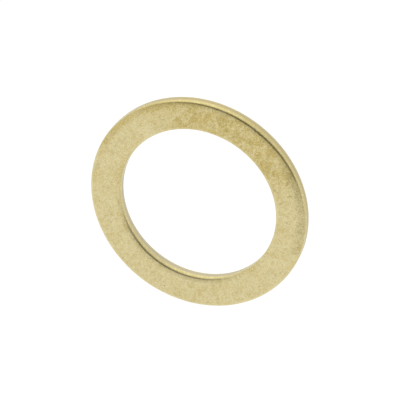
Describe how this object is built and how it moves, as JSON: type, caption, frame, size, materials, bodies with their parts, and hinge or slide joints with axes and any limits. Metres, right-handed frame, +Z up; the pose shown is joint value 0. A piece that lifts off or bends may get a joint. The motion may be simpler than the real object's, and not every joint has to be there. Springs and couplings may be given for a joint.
{
  "type": "flat washer",
  "caption": "Thin, narrow flat washer blanked from brass sheet, with softly rolled edges on its front face; spaces and bears on a shaft or bolt.",
  "frame": {"origin": "centre of the bore, halfway through the thickness", "axes": "Y along the bore axis: the front face, with the rolled edges, looks towards -Y and the back face towards +Y; Z up, the ring standing on its rim; X to the right"},
  "size_m": [0.025, 0.0012, 0.025],
  "materials": {
    "brass": "dull rolled sheet, faintly stained, with a bright band round the cut edge"
  },
  "bodies": {
    "root": {"washer": "brass"}
  },
  "joints": []
}
